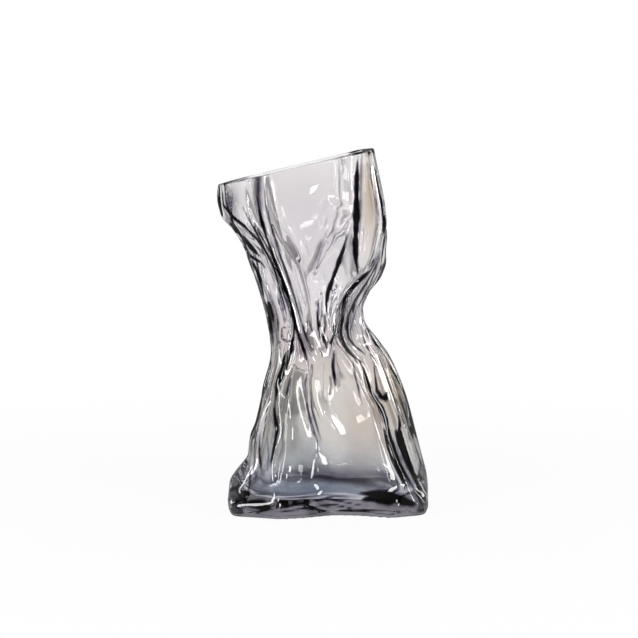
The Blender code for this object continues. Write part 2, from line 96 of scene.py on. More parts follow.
# creases, anticlockwise from the left: rounding, then height, right, back; the last point is on the lip
creases = {
    "leftEdge": (6, [
        (0, -57, -4), (12, -57, -4), (20, -53, -4), (29, -46.5, -3), (40, -45.3, -3), (50, -42, -3),
        (71, -37.5, -3), (92, -32.5, -2), (110, -35, -3), (131, -40.8, -3), (145, -46, -3), (152, -48, -3),
        (164, -54.5, -3), (173, -62, -4), (184, -64.5, -4), (205, -63.5, -3)]),
    "leftSideFront": (5, [
        (0, -55, -34), (8, -56, -34), (14, -50, -33), (28, -42.5, -27), (40, -42, -24), (50, -39.5, -23),
        (71, -31, -23), (92, -26, -21), (110, -25, -17), (131, -31, -16), (152, -38, -17), (173, -51, -17),
        (205, -56, -12)]),
    "frontLeftEdge": (3.5, [
        (0, -54, -44.5), (7, -52.5, -44.5), (14, -42, -43.5), (22, -34, -42.5), (38, -30, -41),
        (50, -28, -38.5), (62, -28.3, -36), (75, -28.5, -33), (92, -22, -29.5), (110, -19, -25.5),
        (131, -24.5, -26.5), (152, -32.5, -29), (173, -43.5, -26.5), (205, -49, -23)]),
    "leftPleat": (2.5, [
        (0, -27, -53), (7, -27, -52), (28, -21, -44), (50, -18, -40), (71, -18.5, -33.5), (80, -18.5, -29),
        (92, -15.5, -22.5), (110, -16.5, -21), (131, -22, -22.5), (152, -30, -26), (173, -38.5, -26.5),
        (205, -42.3, -27.8)]),
    "longRidge": (3, [
        (0, -12, -50), (7, -12, -49), (20, -6, -43), (36, -3.5, -38.5), (50, -6, -35), (62, -9, -32),
        (75, -10.8, -28.5), (85, -9, -26), (92, -9.5, -27), (110, -14, -29.5), (131, -19.5, -33.5),
        (152, -27.5, -36), (173, -34.5, -36), (205, -37.5, -35)]),
    "centreFold": (4, [
        (0, 5, -43), (28, 8, -44), (45, 7, -44), (57, 1, -42.5), (70, -3.5, -38.5), (81, -4.5, -34.5),
        (92, -3.5, -29), (110, -3, -24), (131, -5, -30), (141, -6.6, -33.5), (152, -8.5, -37),
        (173, -12.5, -38.5), (205, -12, -37)]),
    "rightPleat": (3, [
        (0, 20, -43.5), (28, 20, -43), (50, 16, -40), (75, 8, -33), (85, 6, -28.5), (96, 6, -23.5),
        (110, 2.6, -19.8), (122, 1.6, -19.4), (131, 2.6, -21), (141, 6.6, -24), (152, 10.3, -27.5),
        (164, 14, -32), (176, 14.5, -35), (205, 14, -36)]),
    "frontRightValley": (2.5, [
        (0, 42, -49), (7, 43, -48), (20, 43.5, -43), (36, 37.5, -39.5), (55, 31, -36), (68, 25.5, -32.5),
        (80, 20, -28.5), (90, 14, -24), (99, 8, -21), (106, 6.5, -20.5), (117, 7.5, -21), (126, 10, -23),
        (134, 16, -26), (141, 20, -30.5), (173, 19.5, -33.5), (205, 20, -33)]),
    "frontRightEdge": (3.5, [
        (0, 59.5, -41.5), (6, 59, -42), (12, 55, -43), (20, 50.3, -43), (28, 45.8, -42.5),
        (38, 41.3, -41.5), (47, 38.3, -40), (55, 36.2, -38.5), (63, 33.3, -37), (71, 28.3, -35.5),
        (85, 23.5, -32.5), (92, 19, -31), (100, 12.5, -30.5), (106, 10.5, -30.5), (117, 12, -31),
        (126, 14.5, -31), (131, 17.5, -30.5), (138, 24, -28.5), (147, 30, -23), (159, 35, -17),
        (170, 37.5, -12), (191, 33, -13), (205, 28.5, -14)]),
    "rightSideFront": (3, [
        (0, 61.5, -28), (8, 61.5, -28), (20, 56, -29), (36, 50, -29), (50, 46, -27), (71, 38, -24),
        (92, 28, -20), (99, 21.5, -18.5), (110, 18, -17.5), (120, 18, -18), (127, 20.5, -18.5),
        (133, 25, -17), (147, 34, -12), (159, 37, -6), (170, 37, -3), (205, 30, -3)]),
    "rightEdge": (7, [
        (0, 64, 8), (15, 63.5, 9), (28, 60.5, 10), (40, 57.5, 9), (50, 55, 8), (60, 52.5, 7), (71, 49, 6),
        (82, 44, 6), (92, 38.5, 5), (101, 33, 5), (110, 28, 5), (118, 26, 5), (124, 28.5, 6),
        (131, 33.5, 8), (138, 37, 9), (145, 38.5, 10), (152, 37.5, 11), (163, 37, 12), (173, 34.5, 13),
        (205, 28.5, 11)]),
    "backRightEdge": (8, [
        (0, 55, 45), (28, 49, 43), (50, 43, 38), (71, 35, 33), (92, 27, 25), (110, 20, 18), (131, 24, 20),
        (152, 28, 26), (173, 28, 29), (205, 25, 30)]),
    "backRightPleat": (4, [
        (0, 38, 50), (28, 35, 44), (50, 30, 39), (71, 23, 32), (92, 15, 24.5), (110, 12, 21.5),
        (131, 13, 23), (152, 15, 31), (173, 16, 35), (205, 16, 35)]),
    "backRightValley": (4, [
        (0, 20, 46), (28, 19, 43), (50, 16, 38), (71, 10, 34), (92, 7, 29), (110, 5, 26), (131, 3, 30),
        (152, 4, 35), (173, 3, 37), (205, 4, 36.5)]),
    "backCentreRidge": (4, [
        (0, 0, 45), (28, 0, 41), (50, -2, 36.5), (71, -3, 31), (92, -3, 24), (110, -4, 20), (131, -6, 24),
        (152, -8, 31.5), (173, -12, 36), (205, -13, 36.5)]),
    "backLeftValley": (4, [
        (0, -24, 50), (28, -21, 45), (50, -17, 40), (71, -13, 34.5), (92, -11, 28), (110, -13, 25),
        (131, -17, 29), (152, -22, 35), (173, -27, 37.5), (205, -30, 37)]),
    "backLeftEdge": (8, [
        (0, -50, 45), (28, -40, 42), (50, -34, 36), (71, -28, 31), (92, -22, 25), (110, -24, 21),
        (131, -29, 24), (152, -37, 29), (173, -46, 33), (205, -52, 31)]),
    "leftSideBack": (6, [
        (0, -56, 22), (12, -55, 21), (28, -44, 19), (50, -37, 17), (71, -33, 15), (92, -28, 11),
        (110, -31, 7), (131, -36, 9), (152, -42, 13), (173, -55, 17), (205, -58, 17)]),
}
# how the folds, the painted shade lines and the patches of tint and painted light below are laid on the wall.
# Each belongs to a side, and fades in as the wall turns to that side, from a cosine of the angle between them
# and over a span of it
drawing = {
    "sheet": 33.0,  # the sheet that paths are drawn on stands this far before the axis
    "foldFrom": -0.25, "foldSpan": 0.4, "foldEnd": 0.35, "foldEase": 1.5,
    "lineFrom": 0.2, "lineSpan": 0.3, "lineEnd": 0.12, "lineTurn": 1.4, "lineNarrowest": 0.4,
    "swell": 0.22, "swellRate": 0.31, "waver": 0.1, "waverRate": 0.83,
    "washFrom": 0.0, "washSpan": 0.4,
}
# small folds: side, how far out, half width, and the path across and up as an eye on that side sees it
folds = [
    # broad dents and swellings of the front
    ("front", -0.8, 4.0, [(-15, 170), (-11, 158), (-8, 144)]),
    ("front", -1.8, 5.0, [(6, 175), (-2, 152)]),
    ("front", 1.4, 2.6, [(-22.5, 108), (-22, 103)]),
    ("front", 0.6, 2.4, [(-58, 174), (-50, 168.5), (-42, 160.5), (-36, 154), (-34, 150)]),
    ("front", 0.6, 2.4, [(-37, 145), (-32, 134), (-28, 122)]),
    ("front", -2.0, 3.0, [(41, 52), (43, 46), (46, 38), (50, 29), (54, 20), (58, 10)]),
    ("front", -1.4, 2.2, [(3, 163), (-4, 148), (-7, 141)]),
    # the long folds from lip to waist, and those under the left shoulder
    ("front", -1.2, 3.0, [(-37, 204), (-37.5, 190), (-36.5, 180), (-35, 172), (-33, 165)]),
    ("front", -0.6, 1.8, [(-36, 176), (-32.5, 163), (-27, 146), (-21, 130), (-16.5, 113), (-11, 95),
                          (-9, 88)]),
    ("front", -0.4, 1.8, [(-57, 187), (-57, 180), (-52, 173), (-45, 167.5), (-38, 160), (-33, 152.5),
                          (-31, 147)]),
    ("front", -0.3, 1.6, [(-52, 168), (-44, 160), (-37, 153.5), (-34.5, 151)]),
    ("front", -0.6, 1.8, [(19.5, 214), (19, 195), (19, 175), (18.5, 160), (18.5, 150), (20, 139)]),
    ("front", -0.7, 1.6, [(14, 163), (11, 154), (8, 145), (5, 137), (2.5, 130), (1.5, 123), (2, 116)]),
    # the big fold over the waist, and the small ones in it
    ("front", -0.6, 1.8, [(36, 162), (34, 152), (28, 141), (22, 131), (17, 123), (13, 110), (18, 99),
                          (23, 95)]),
    ("front", -0.5, 1.4, [(-3, 127), (-3.5, 115), (-2, 105), (0.5, 97)]),
    ("front", -0.5, 1.4, [(6, 98), (5.3, 87), (7, 74)]),
    # below the waist
    ("front", -0.6, 1.8, [(-18, 104), (-18, 97), (-22, 92), (-25, 85), (-27, 75), (-28.5, 65), (-27, 50),
                          (-31, 30)]),
    ("front", -0.6, 1.8, [(-9, 86), (-10.5, 75), (-9, 62), (-6.5, 50), (-3, 42), (-4, 35)]),
    ("front", -0.6, 1.8, [(20, 90), (25, 78), (33, 63), (38, 47), (45, 28), (54, 12), (57, 6)]),
    ("front", -0.7, 2.0, [(-36, 72), (-38, 58), (-41, 46), (-44, 32), (-50, 24)]),
    # ridges that catch the light
    ("front", 0.5, 2.0, [(-23, 164), (-19, 157), (-16.5, 152), (-13, 146)]),
    ("front", 1.1, 2.2, [(-1, 167), (1, 175), (4, 181), (10, 178.5), (15, 175.5), (12, 171), (10, 165)]),
    ("front", 0.6, 4.0, [(-5.5, 80), (-4, 67), (-1, 59), (4, 53), (10, 45)]),
    ("front", 0.8, 1.8, [(2, 83), (3, 76), (2, 68)]),
    ("front", 0.9, 3.2, [(-16, 84), (-14, 66), (-10, 48)]),
    ("front", 0.9, 1.8, [(-27, 42), (-29.5, 32), (-29, 20), (-28, 10)]),
    # the other sides
    ("right", -1.8, 5.0, [(-8, 160), (2, 142), (8, 122), (2, 100)]),
    ("right", 1.6, 5.0, [(8, 168), (14, 148), (10, 128)]),
    ("right", -1.6, 6.0, [(-4, 88), (-10, 62), (-6, 34)]),
    ("right", 1.4, 5.0, [(8, 96), (14, 70), (20, 42)]),
    ("right", -0.7, 2.0, [(-10, 200), (-9, 180), (-6, 160), (0, 142), (4, 124), (0, 108), (-6, 92),
                          (-14, 70), (-22, 46)]),
    ("back", -2.4, 4.0, [(40, 198), (38, 180), (33, 160), (24, 138), (15, 118), (10, 100), (12, 84),
                         (20, 62), (27, 40)]),
    ("back", -2.2, 4.0, [(-14, 208), (-13, 180), (-10, 155), (-6, 132), (-2, 112), (-4, 92), (-12, 70),
                         (-20, 50)]),
    ("back", -1.8, 4.5, [(-24, 168), (-16, 146), (-14, 124), (-16, 100)]),
    ("back", 1.6, 4.0, [(-8, 128), (-7, 106), (-12, 84), (-18, 62)]),
    ("back", -1.8, 4.0, [(10, 158), (8, 134), (8, 110), (12, 84)]),
    ("back", -1.4, 5.0, [(30, 152), (22, 128), (20, 108)]),
    ("back", -1.6, 5.0, [(28, 84), (34, 58), (32, 36)]),
    ("back", 1.4, 6.0, [(-30, 62), (-34, 44)]),
    ("left", -2.0, 4.5, [(-20, 168), (-10, 150), (-6, 128), (-8, 104)]),
    ("left", 1.5, 4.0, [(-12, 128), (-10, 106), (-14, 82)]),
    ("left", -1.7, 5.0, [(10, 90), (14, 62), (8, 38)]),
    ("left", -1.5, 5.0, [(14, 160), (12, 138)]),
    ("left", -0.7, 2.0, [(16, 186), (12, 170), (6, 155), (4, 140), (6, 120), (8, 104)]),
]
# lines of painted shade, drawn where a crease would send the light away: side, half width to the outer edge,
# strength, and the path; the painted shade falls straight from the middle to the edge, so a strength over 1
# is a crisp black line
lines = [
    # the long pair from the lip to the waist
    ("front", 2.6, 0.62, [(-36.5, 206), (-37.5, 196), (-37.5, 184), (-36, 172), (-33.5, 164)]),
    ("front", 1.5, 2.0, [(-38.5, 186), (-37, 178), (-35.5, 171), (-33, 163), (-30.3, 155), (-27.5, 146)]),
    ("front", 1.9, 2.2, [(-33, 163), (-30, 154), (-27, 146), (-24, 138), (-21, 130), (-18.5, 122),
                         (-16.5, 113), (-14, 104), (-11, 95), (-9, 88)]),
    ("front", 1.0, 1.0, [(-34, 196), (-33, 180), (-31, 170), (-27.7, 160), (-24.7, 150), (-21.2, 140),
                         (-18, 130), (-15, 120), (-12.5, 110), (-10, 100)]),
    ("front", 0.8, 0.7, [(-31.5, 164), (-28.5, 155), (-25.5, 146), (-22.3, 137), (-19.6, 129)]),
    # under the left shoulder
    ("front", 0.9, 1.4, [(-47, 180), (-43, 172), (-38, 163), (-33, 153), (-29, 145), (-27, 138), (-25, 130),
                         (-22, 120), (-20, 112)]),
    ("front", 1.2, 1.9, [(-58, 188), (-57.5, 180), (-52, 173), (-45, 167.5), (-38, 160), (-33, 152.5),
                         (-31, 147)]),
    ("front", 1.9, 3.0, [(-53, 168), (-47, 162), (-42, 156.5), (-38, 152), (-35.5, 149.5)]),
    ("front", 1.1, 2.2, [(-47, 156), (-41, 150), (-36, 147), (-33, 143)]),
    ("front", 1.4, 2.4, [(-43, 152), (-38.5, 142), (-35.5, 132), (-34, 126)]),
    ("front", 3.6, 2.0, [(-32, 125), (-30.5, 115), (-30.5, 106), (-29, 98)]),
    ("front", 0.9, 1.0, [(-20, 110), (-24, 109), (-24.5, 103), (-20, 101), (-18, 104)]),
    ("front", 1.0, 0.8, [(-28, 97), (-26, 101), (-20, 101)]),
    # upper right: the upright crease, the slanting one, and the edge
    ("front", 2.2, 2.2, [(19.3, 206), (18.8, 190), (18.8, 172), (18.2, 158), (18.5, 148), (20, 139)]),
    ("front", 1.6, 0.6, [(22, 213), (21.3, 196), (21, 176), (20.5, 160)]),
    ("front", 1.5, 2.2, [(14.2, 164), (11, 154), (8, 145), (5, 137), (2.5, 130), (1.5, 123), (2, 116)]),
    ("front", 0.9, 0.5, [(24, 212), (26.5, 196), (29.5, 187), (30.5, 180), (32, 172)]),
    ("front", 1.0, 1.5, [(30.5, 206), (31.5, 196), (33, 186), (35, 176), (36.5, 168)]),
    # the big fold over the waist, both its sides
    ("front", 1.6, 1.8, [(36.5, 168), (35, 158), (31, 149), (27, 142), (21, 137), (15, 131), (12, 126),
                         (11, 119), (10.5, 112), (9.5, 106), (11, 100), (14, 95), (18, 92), (24, 88)]),
    ("front", 1.6, 2.0, [(35.5, 160), (33, 151), (28, 141), (22, 131), (17, 123), (14, 116), (13.2, 109),
                         (14.5, 103), (18.5, 98), (24, 94)]),
    ("front", 1.1, 1.4, [(38, 158), (35.5, 149), (30.5, 139), (24.5, 129), (19.5, 121), (17, 114),
                         (16.5, 108)]),
    ("front", 1.1, 1.0, [(19, 115), (22, 108), (24, 100), (28, 93), (34, 86), (43, 77)]),
    # small creases of the waist
    ("front", 1.1, 1.4, [(-3, 127), (-3.5, 115), (-2, 105), (0.5, 97)]),
    ("front", 0.8, 0.7, [(-8.5, 114), (-6, 105)]),
    ("front", 1.3, 1.3, [(6, 98), (5.3, 87), (7, 74)]),
    ("front", 0.8, 1.0, [(17, 91), (18, 82), (20, 75), (21, 68)]),
    ("front", 1.0, 1.3, [(-13, 112), (-10, 104), (-7, 97)]),
    ("front", 1.0, 1.5, [(8, 116), (7, 108), (4, 100), (3, 92)]),
    ("front", 0.9, 1.3, [(1, 112), (0, 104), (2, 96)]),
    ("front", 1.6, 0.4, [(2, 166), (-1, 156), (-4, 148), (-7, 141)]),
    # below the waist
    ("front", 2.0, 2.0, [(-18, 105), (-18, 97), (-22, 92), (-25, 85), (-27, 75), (-28, 66)]),
    ("front", 1.4, 1.6, [(-28, 70), (-28.7, 60), (-27, 50), (-29, 38), (-31, 28)]),
    ("front", 1.8, 1.8, [(-20, 92), (-23, 86), (-25, 77)]),
    ("front", 1.6, 0.8, [(-18.5, 81), (-22, 69)]),
    ("front", 1.5, 0.9, [(-9, 88), (-11, 76), (-9.3, 62), (-6.5, 50), (-3, 42), (-4, 35)]),
    ("front", 1.0, 0.7, [(-7.5, 74), (-7, 62), (-3.5, 50), (-1, 43)]),
    ("front", 2.3, 1.9, [(-32, 86), (-34.5, 74), (-37, 62)]),
    ("front", 2.0, 2.2, [(-36, 66), (-39.5, 54), (-43, 44)]),
    ("front", 0.9, 1.0, [(-32.5, 68), (-37, 57), (-41.5, 47), (-43, 40)]),
    ("front", 1.4, 1.4, [(-42, 44), (-43.5, 30), (-43, 18), (-45, 8)]),
    ("front", 1.2, 1.1, [(-37, 48), (-37.5, 36), (-36, 24)]),
    ("front", 0.9, 0.6, [(-33, 47), (-32, 34), (-33, 24)]),
    ("front", 0.8, 0.7, [(-49, 24), (-53, 14), (-55, 6)]),
    ("front", 1.8, 2.2, [(20, 91), (23, 85), (25, 78), (28, 71), (33, 63), (36, 55), (38, 47), (41, 38),
                         (45, 28), (50, 20), (54, 12), (57, 6)]),
    ("front", 3.4, 2.4, [(42, 50), (44, 42), (47, 34), (51, 26), (55, 16), (58, 8)]),
    ("front", 1.0, 0.6, [(37, 72), (42, 60), (47, 48), (51, 36), (55, 26)]),
    ("front", 1.2, 1.2, [(29, 88), (30, 80), (31, 72), (36, 67), (38, 73)]),
    ("front", 2.4, 1.2, [(31, 74), (33, 69), (36, 68), (37, 73)]),
    # the foot
    ("front", 1.0, 1.1, [(-34, 5), (-20, 5), (-8, 7), (2, 9), (12, 7), (26, 4)]),
    ("front", 0.8, 1.0, [(-38, 2), (-22, 1.5), (-8, 3.5), (6, 5.5), (18, 2.5), (36, 1.5)]),
    ("front", 1.1, 0.8, [(-28, 9), (-14, 9.5), (0, 11), (14, 10), (26, 10)]),
    ("front", 3.6, 0.5, [(-20, 25), (0, 21), (20, 19), (32, 16), (50, 10)]),
    ("front", 4.6, 1.8, [(-46, 6), (-39, 6), (-31, 3)]),
    ("front", 5.0, 2.0, [(22, 8), (32, 10), (42, 9), (54, 5)]),
    ("front", 2.2, 1.4, [(20, 12), (32, 12), (40, 10)]),
    # the other sides
    ("right", 1.3, 0.8, [(-10, 200), (-9, 180), (-6, 160), (0, 142), (4, 124), (0, 108), (-6, 92),
                         (-14, 70), (-22, 46)]),
    ("right", 1.2, 0.6, [(14, 176), (14, 160), (10, 144), (6, 128), (6, 112), (12, 92), (20, 66),
                         (28, 38)]),
    ("right", 1.2, 0.7, [(-2, 92), (2, 70), (-4, 48), (-2, 26)]),
    ("back", 1.5, 0.7, [(40, 198), (38, 180), (33, 160), (24, 138), (15, 118), (10, 100), (12, 84),
                        (20, 62), (27, 40)]),
    ("back", 1.5, 0.7, [(-14, 208), (-13, 180), (-10, 155), (-6, 132), (-2, 112), (-4, 92), (-12, 70),
                        (-20, 50)]),
    ("back", 1.2, 1.0, [(4, 118), (2, 100), (6, 84)]),
    ("back", 1.4, 1.0, [(20, 104), (26, 84), (34, 60), (42, 34)]),
    ("left", 1.5, 1.4, [(16, 186), (12, 170), (6, 155), (4, 140), (6, 120), (8, 104)]),
    ("left", 1.4, 1.2, [(-22, 170), (-14, 150), (-10, 128), (-11, 106), (-18, 84), (-26, 60), (-30, 36)]),
    ("left", 1.4, 1.2, [(10, 100), (14, 80), (20, 58), (26, 36), (34, 16)]),
]
# soft patches of tint where the glass is thicker, and of painted shade and painted reflected colour where it
# bends or throws back the light: side, across, up, half sizes, colour, share
tintAndPaintedLightPatches = [
    ("front", -54, 181, 5, 9, "#4E4460", 0.9),
    ("front", -37.5, 190, 2.8, 17, "#574E62", 0.9),
    ("front", 26, 184, 5, 26, "#DECDB6", 0.85),
    ("front", -10, 185, 30, 22, "#EAE6E9", 0.8),
    ("front", -12, 150, 14, 26, "#E9E6EC", 0.5),
    ("front", 8, 158, 7, 14, "#DAD8DE", 0.5),
    ("front", -30, 112, 4, 13, "#262C48", 0.8),
    ("front", -12, 100, 5, 11, "#A596AD", 0.7),
    ("front", 15, 114, 4, 13, "#4A5370", 0.6),
    ("front", 3, 98, 10, 11, "#BFB8BD", 0.6),
    ("front", -24, 62, 11, 26, "#B4B7B6", 0.8),
    ("front", -14, 38, 14, 14, "#C3C8C8", 0.7),
    ("front", 24, 46, 16, 28, "#DED2C8", 0.65),
    ("front", 40, 74, 7, 18, "#D2CDB4", 0.7),
    ("front", -38, 36, 5, 16, "#7C7C84", 0.45),
    ("front", -6, 15, 24, 5, "#8498B0", 0.65),
    ("front", 22, 20, 22, 5, "#8A8C8E", 0.4),
    ("front", -38, 5, 9, 6, "#2A2228", 0.9),
    ("front", 42, 7, 12, 6, "#1E1A20", 0.9),
    ("front", 4, 3, 30, 4, "#A2A9AC", 0.4),
    ("right", 0, 60, 20, 30, "#DDD3C4", 0.6),
    ("right", 0, 8, 34, 8, "#989098", 0.5),
    ("back", 0, 8, 40, 8, "#6B6470", 0.6),
    ("left", 0, 60, 18, 30, "#C6C9C8", 0.6),
    ("left", 0, 8, 34, 8, "#A89EA4", 0.45),
]


def smoothThrough(knots, values, at):
    # cubic through the knots; each slope is the weighted harmonic mean of its two sides, nought at a turn
    knots, values = np.asarray(knots, float), np.asarray(values, float)
    step = np.diff(knots)[:, None]
    rise = np.diff(values, axis=0) / step
    before, after = 2 * step[1:] + step[:-1], step[1:] + 2 * step[:-1]
    with np.errstate(divide="ignore", invalid="ignore"):
        mean = (before + after) / (before / rise[:-1] + after / rise[1:])
    slope = np.vstack([rise[:1], np.where(rise[:-1] * rise[1:] > 0, mean, 0.0), rise[-1:]])
    at = np.clip(at, knots[0], knots[-1])
    span = np.clip(np.searchsorted(knots, at, side="right") - 1, 0, len(knots) - 2)
    length = step[span]
    t = (at - knots[span])[:, None] / length
    start = values[span] * (1 + 2 * t) * (1 - t) ** 2 + slope[span] * length * t * (1 - t) ** 2
    end = values[span + 1] * t ** 2 * (3 - 2 * t) - slope[span + 1] * length * t ** 2 * (1 - t)
    return start + end


def creasePoints(levels):
    # level 0 is flat on the ground and level 1 lies in the slanting lip; the tilt grows with the cube
    lip, middle, creaseLines = vase["lipHeight"], axisPath[-1], []
    for _, path in creases.values():
        knots = np.array(path, float)
        top = lip + vase["lipRiseRight"] * (knots[-1, 1] - middle[1])
        top = top + vase["lipRiseBack"] * (knots[-1, 2] - middle[2])
        knots[-1, 0] = top
        z = levels * lip + levels ** 3 * (top - lip)
        creaseLines.append(np.column_stack([smoothThrough(knots[:, 0], knots[:, 1:], z), z]))
    return np.stack(creaseLines, axis=1)


def facetSteps():
    # columns on each facet: its mean width over the pitch
    points = creasePoints(np.linspace(0, 1, 9))
    widths = np.linalg.norm(np.roll(points, -1, axis=1) - points, axis=2).mean(axis=0)
    pitch = np.where(points[:, :, 1].mean(axis=0) > 0, vase["backPitch"], vase["frontPitch"])
    return np.maximum(1, np.round((1 - vase["mostOfFacet"]) * widths / pitch)).astype(int)


def facetedOutline(levels):
    # each corner is a quadratic curve from facet to facet with its control point on the crease
    points, steps = creasePoints(levels), facetSteps()
    roundings = [rounding for rounding, _ in creases.values()]
    columns = []
    for i, rounding in enumerate(roundings):
        j = (i + 1) % len(roundings)
        tip, ahead, behind = points[:, i], points[:, j] - points[:, i], points[:, i - 1] - points[:, i]
        lengthAhead = np.linalg.norm(ahead, axis=1)[:, None]
        lengthBehind = np.linalg.norm(behind, axis=1)[:, None]
        start = tip + behind * np.minimum(rounding / lengthBehind, vase["mostOfFacet"])
        end = tip + ahead * np.minimum(rounding / lengthAhead, vase["mostOfFacet"])
        t = (np.arange(vase["cornerSteps"]) / vase["cornerSteps"])[None, :, None]
        columns.append((1 - t) ** 2 * start[:, None] + 2 * t * (1 - t) * tip[:, None] + t ** 2 * end[:, None])
        nextStart = points[:, j] - ahead * np.minimum(roundings[j] / lengthAhead, vase["mostOfFacet"])
        t = (np.arange(steps[i]) / steps[i])[None, :, None]
        columns.append(end[:, None] + (nextStart - end)[:, None] * t)
    return np.concatenate(columns, axis=1)


def alongPath(seen, path):
    # how far each point is from the path, how far along the path its nearest point is, and the whole length
    path = np.array(path, float)
    lengths = np.linalg.norm(np.diff(path, axis=0), axis=1)
    done = np.concatenate([[0], np.cumsum(lengths)])
    nearest, along = np.full(seen.shape[:2], np.inf), np.zeros(seen.shape[:2])
    for i, length in enumerate(lengths):
        way = (path[i + 1] - path[i]) / length
        t = np.clip((seen - path[i]) @ way, 0, length)
        gap = np.linalg.norm(seen - path[i] - t[:, :, None] * way, axis=2)
        along = np.where(gap < nearest, done[i] + t, along)
        nearest = np.minimum(gap, nearest)
    return nearest, along, done[-1]


def axisAt(z):
    # the axis path, read off at each row's mean height
    path = np.array(axisPath, float)
    return smoothThrough(path[:, 0], path[:, 1:], z.mean(axis=1))


def ripples(points, shift):
    # a few crossed waves, 9 to 40 mm long, added together: each is the product of two sines
    x, y, z = points[:, :, 0] + shift, points[:, :, 1] - shift, points[:, :, 2]
    waves = np.sin(0.31 * x + 0.17 * z + 1.3) * np.sin(0.27 * y - 0.12 * z + 0.4)
    waves += 0.7 * np.sin(0.16 * x - 0.41 * z + 2.1) * np.sin(0.22 * y + 0.09 * x)
    waves += 0.5 * np.sin(0.55 * x + 0.5 * y + 0.23 * z) * np.sin(0.38 * z - 0.31 * y + 0.8)
    return waves


def armsOf(rows):
    # unit vectors straight out from the axis
    arm = rows[:, :, :2] - axisAt(rows[:, :, 2])[:, None, :]
    return arm / np.maximum(np.linalg.norm(arm, axis=2), 1e-6)[:, :, None]


def outwardsOf(rows):
    # unit vectors level and square to the wall, from the points three columns to either side
    along = (np.roll(rows, -3, axis=1) - np.roll(rows, 3, axis=1))[:, :, :2]
    square = np.stack([along[:, :, 1], -along[:, :, 0]], axis=2)
    return square / np.maximum(np.linalg.norm(square, axis=2), 1e-6)[:, :, None]


def seenFrom(side, rows, outward):
    # what an eye on that side sees, drawn on the sheet, and the cosine of the angle between each point's
    # outward direction and that side
    facing, across, depth = {
        "front": (-outward[:, :, 1], rows[:, :, 0], -rows[:, :, 1]),
        "right": (outward[:, :, 0], rows[:, :, 1], rows[:, :, 0]),
        "back": (outward[:, :, 1], -rows[:, :, 0], rows[:, :, 1]),
        "left": (-outward[:, :, 0], -rows[:, :, 1], -rows[:, :, 0])}[side]
    scale = (cameraPlace["distance"] - drawing["sheet"]) / (cameraPlace["distance"] - depth)
    height = cameraPlace["height"]
    seen = np.stack([across * scale, height - (height - rows[:, :, 2]) * scale], axis=2)
    return seen, facing


def fadedIn(facing, kind):
    # nought below that kind's cosine, whole above it by its span, and straight between
    return np.clip((facing - drawing[kind + "From"]) / drawing[kind + "Span"], 0, 1)


def foldedOutline(levels, rippleShift):
    # the faceted outline with every small fold and the ripple pushed straight out from the axis; a fold is a
    # bell across its path, exp(-(distance / half width)^2), and eases to about a third at both ends
    rows = facetedOutline(levels)
    arm = armsOf(rows)
    push = vase["ripple"] * ripples(rows, rippleShift)
    least = drawing["foldEnd"]
    for side, amount, halfWidth, path in folds:
        seen, facing = seenFrom(side, rows, arm)
        distance, along, length = alongPath(seen, path)
        ends = np.clip(np.minimum(along, length - along) / (drawing["foldEase"] * halfWidth), 0, 1)
        ends = least + (1 - least) * ends * ends * (3 - 2 * ends)
        push += amount * fadedIn(facing, "fold") * ends * np.exp(-(distance / halfWidth) ** 2)
    rows[:, :, :2] += arm * push[:, :, None]
    return rows


def paintedLineShadeOf(rows):
    # the strongest line of painted shade at each point: strength * (1 - distance / half width), both tapering
    # to the two ends as the root of a sine; the width also swells and thins along the way, and narrows as the
    # wall turns away
    outward, ink = outwardsOf(rows), np.zeros(rows.shape[:2])
    least = drawing["lineEnd"]
    for side, halfWidth, strength, path in lines:
        seen, facing = seenFrom(side, rows, outward)
        distance, along, length = alongPath(seen, path)
        taper = least + (1 - least) * np.sqrt(np.clip(np.sin(np.pi * along / length), 0, 1))
        swell = 1 + drawing["swell"] * np.sin(drawing["swellRate"] * along + 2 * halfWidth)
        swell = swell + drawing["waver"] * np.sin(drawing["waverRate"] * along)
        width = halfWidth * taper * swell * np.clip(drawing["lineTurn"] * facing, drawing["lineNarrowest"], 1)
        ink = np.maximum(ink, strength * taper * fadedIn(facing, "line") * (1 - distance / width))
    return ink


def tintAndPaintedLightOf(rows):
    # the patches of tint and painted light multiplied together, each a bell across and up
    outward, colour = outwardsOf(rows), np.ones(rows.shape[:2] + (3,))
    for side, across, up, halfWide, halfHigh, hexCode, share in tintAndPaintedLightPatches:
        seen, facing = seenFrom(side, rows, outward)
        bell = np.exp(-((seen[:, :, 0] - across) / halfWide) ** 2 - ((seen[:, :, 1] - up) / halfHigh) ** 2)
        weight = (share * fadedIn(facing, "wash") * bell)[:, :, None]
        colour = colour * (1 - weight + weight * np.array(linearColour(hexCode)[:3]))
    return colour


def polar(rows):
    # each point's distance from the axis and its bearing, and the axis itself
    axis = axisAt(rows[:, :, 2])[:, None, :]
    arm = rows[:, :, :2] - axis
    return np.linalg.norm(arm, axis=2), np.arctan2(arm[:, :, 1], arm[:, :, 0]), axis


def fromPolar(radius, angle, axis, z):
    # back to right, back and up
    across, back = axis[:, :, 0] + radius * np.cos(angle), axis[:, :, 1] + radius * np.sin(angle)
    return np.stack([across, back, z], axis=2)


def roundedEdge(height, radius):
    # how far a quarter round of this radius stands in at a height above its foot
    below = np.clip(radius - height, 0, radius)
    return radius - np.sqrt(radius ** 2 - below ** 2)


def softened(radius, angle):
    # each row's radius averaged round the axis under a bell curve
    soft = []
    for r, a in zip(radius, angle):
        apart = (a[:, None] - a[None, :] + np.pi) % (2 * np.pi) - np.pi
        width = (np.roll(a, -1) - np.roll(a, 1)) % (2 * np.pi)
        weight = np.exp(-0.5 * (apart / np.radians(vase["soften"])) ** 2) * width
        soft.append(weight @ r / weight.sum(axis=1))
    return np.stack(soft)


